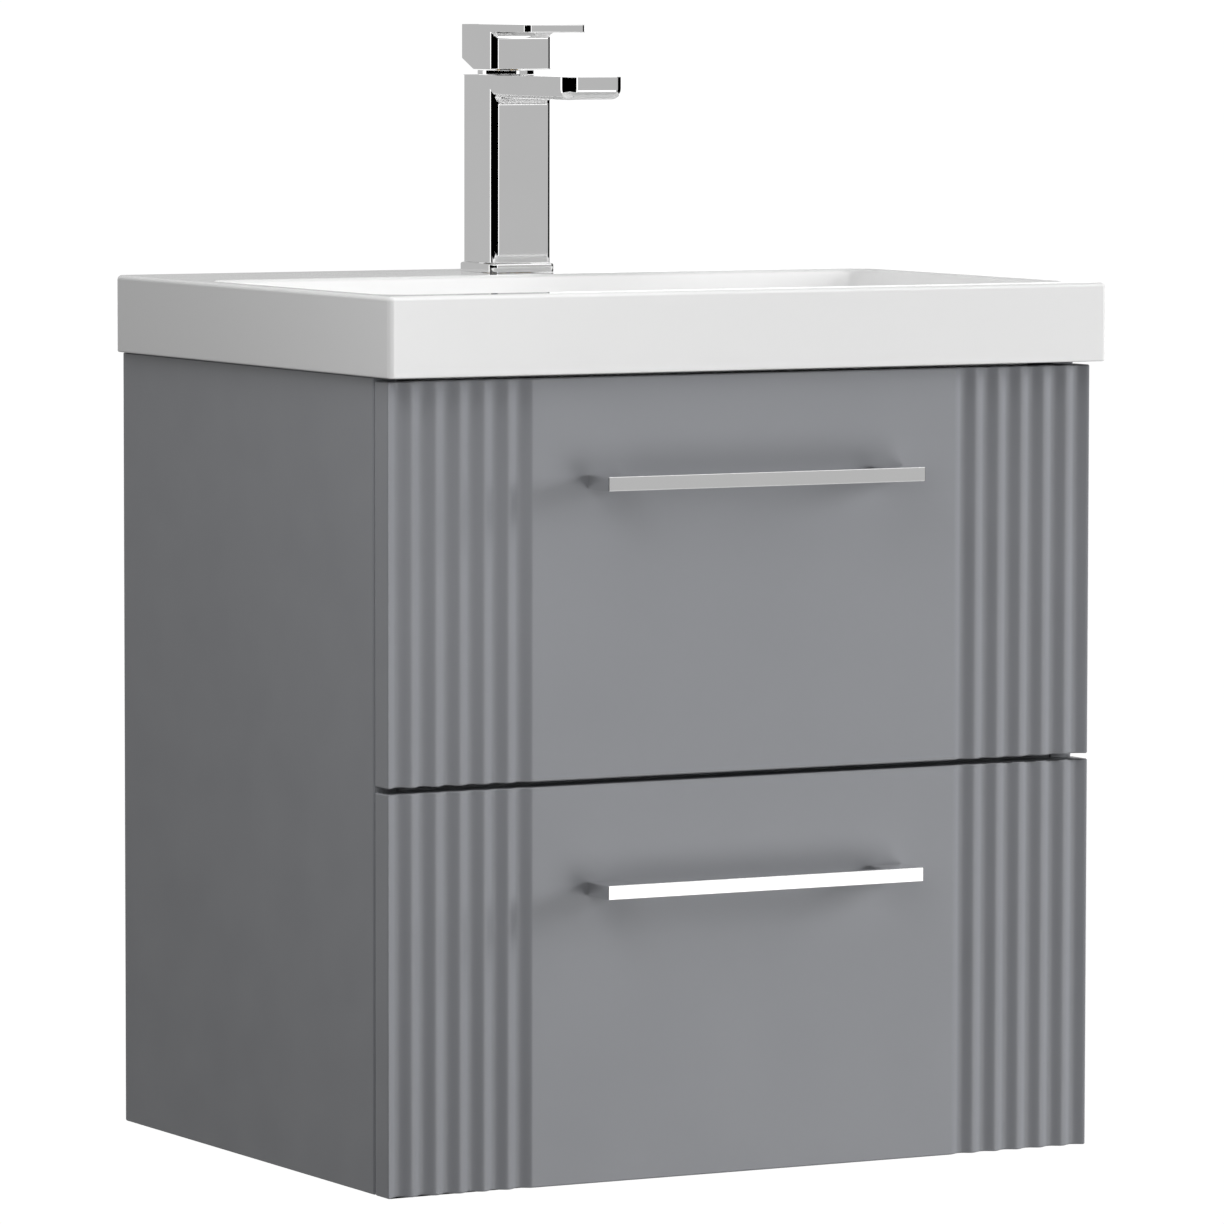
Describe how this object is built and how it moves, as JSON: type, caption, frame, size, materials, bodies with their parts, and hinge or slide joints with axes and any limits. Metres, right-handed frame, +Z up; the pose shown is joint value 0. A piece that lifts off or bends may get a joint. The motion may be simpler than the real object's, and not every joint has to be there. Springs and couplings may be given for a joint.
{
  "type": "bathroom vanity cabinet",
  "caption": "Wall-hung bathroom vanity cabinet with fluted drawer fronts, bar handles, a ceramic basin on top and a single-lever basin tap.",
  "frame": {"origin": "centre of the wall rail's rear face, in the wall plane, 460 mm above the underside of the cabinet", "axes": "+X to the right seen from the front, +Y into the wall, +Z up"},
  "size_m": [0.51, 0.4105, 0.715],
  "materials": {
    "lacquer": "satin grey lacquer on fibreboard",
    "ceramic": "glossy white glaze",
    "chrome": "polished chrome plate",
    "brass": "machined",
    "white_plastic": "moulded",
    "zinc_steel": "zinc plated",
    "drawer_board": "white melamine face on board"
  },
  "bodies": {
    "cabinet": {"left_side_panel": "lacquer", "right_side_panel": "lacquer", "bottom_panel": "lacquer", "front_top_rail": "lacquer", "front_mid_rail": "lacquer", "back_top_rail": "lacquer", "back_bottom_rail": "lacquer", "wall_rail": "zinc_steel", "left_hanger": "zinc_steel", "right_hanger": "zinc_steel", "basin": "ceramic", "waste_flange": "chrome", "overflow_ring": "chrome", "waste_nut": "white_plastic", "trap_nut": "chrome", "trap_body": "chrome", "trap_cup": "chrome", "trap_outlet_pipe": "chrome", "wall_collar": "chrome", "tap_flange": "chrome", "tap_body": "chrome", "tap_aerator": "chrome", "tap_collar": "chrome", "tap_cartridge": "brass", "tap_shank": "brass", "tap_backnut": "brass", "upper_left_cabinet_member": "zinc_steel", "upper_right_cabinet_member": "zinc_steel", "lower_left_cabinet_member": "zinc_steel", "lower_right_cabinet_member": "zinc_steel"},
    "lever_base": {"tap_spindle": "brass"},
    "lever": {"tap_lever": "chrome"},
    "plug": {"waste_plug": "chrome"},
    "upper_drawer": {"upper_drawer_front": "lacquer", "upper_handle": "chrome", "upper_handle_left_screw": "zinc_steel", "upper_handle_right_screw": "zinc_steel", "upper_drawer_left_side": "drawer_board", "upper_drawer_right_side": "drawer_board", "upper_drawer_bottom": "drawer_board", "upper_drawer_notch_wall": "drawer_board", "upper_drawer_left_back": "drawer_board", "upper_drawer_right_back": "drawer_board", "upper_left_drawer_member": "zinc_steel", "upper_right_drawer_member": "zinc_steel"},
    "upper_runner_middles": {"upper_left_middle_member": "zinc_steel", "upper_right_middle_member": "zinc_steel"},
    "lower_drawer": {"lower_drawer_front": "lacquer", "lower_handle": "chrome", "lower_handle_left_screw": "zinc_steel", "lower_handle_right_screw": "zinc_steel", "lower_drawer_left_side": "drawer_board", "lower_drawer_right_side": "drawer_board", "lower_drawer_bottom": "drawer_board", "lower_drawer_back": "drawer_board", "lower_left_drawer_member": "zinc_steel", "lower_right_drawer_member": "zinc_steel"},
    "lower_runner_middles": {"lower_left_middle_member": "zinc_steel", "lower_right_middle_member": "zinc_steel"}
  },
  "joints": [
    {"name": "upper_drawer_slide", "type": "slide", "parent": "cabinet", "child": "upper_drawer", "axis": [0, -1, 0], "range_m": [0, 0.3]},
    {"name": "upper_runner_slide", "type": "slide", "parent": "cabinet", "child": "upper_runner_middles", "axis": [0, -1, 0], "range_m": [0, 0.15]},
    {"name": "lower_drawer_slide", "type": "slide", "parent": "cabinet", "child": "lower_drawer", "axis": [0, -1, 0], "range_m": [0, 0.3]},
    {"name": "lower_runner_slide", "type": "slide", "parent": "cabinet", "child": "lower_runner_middles", "axis": [0, -1, 0], "range_m": [0, 0.15]},
    {"name": "lever_turn", "type": "hinge", "parent": "cabinet", "child": "lever_base", "pos_m": [0, -0.06, 0.2257], "axis": [0, 0, 1], "range_deg": [-45, 45]},
    {"name": "lever_lift", "type": "hinge", "parent": "lever_base", "child": "lever", "pos_m": [0, -0.0538, 0.227], "axis": [-1, 0, 0], "range_deg": [0, 18]},
    {"name": "plug_press", "type": "slide", "parent": "cabinet", "child": "plug", "axis": [0, 0, 1], "range_m": [0, 0.008]}
  ],
  "couplings": [
    {"joint": "upper_runner_slide", "follows": "upper_drawer_slide", "ratio": 0.5},
    {"joint": "lower_runner_slide", "follows": "lower_drawer_slide", "ratio": 0.5}
  ]
}
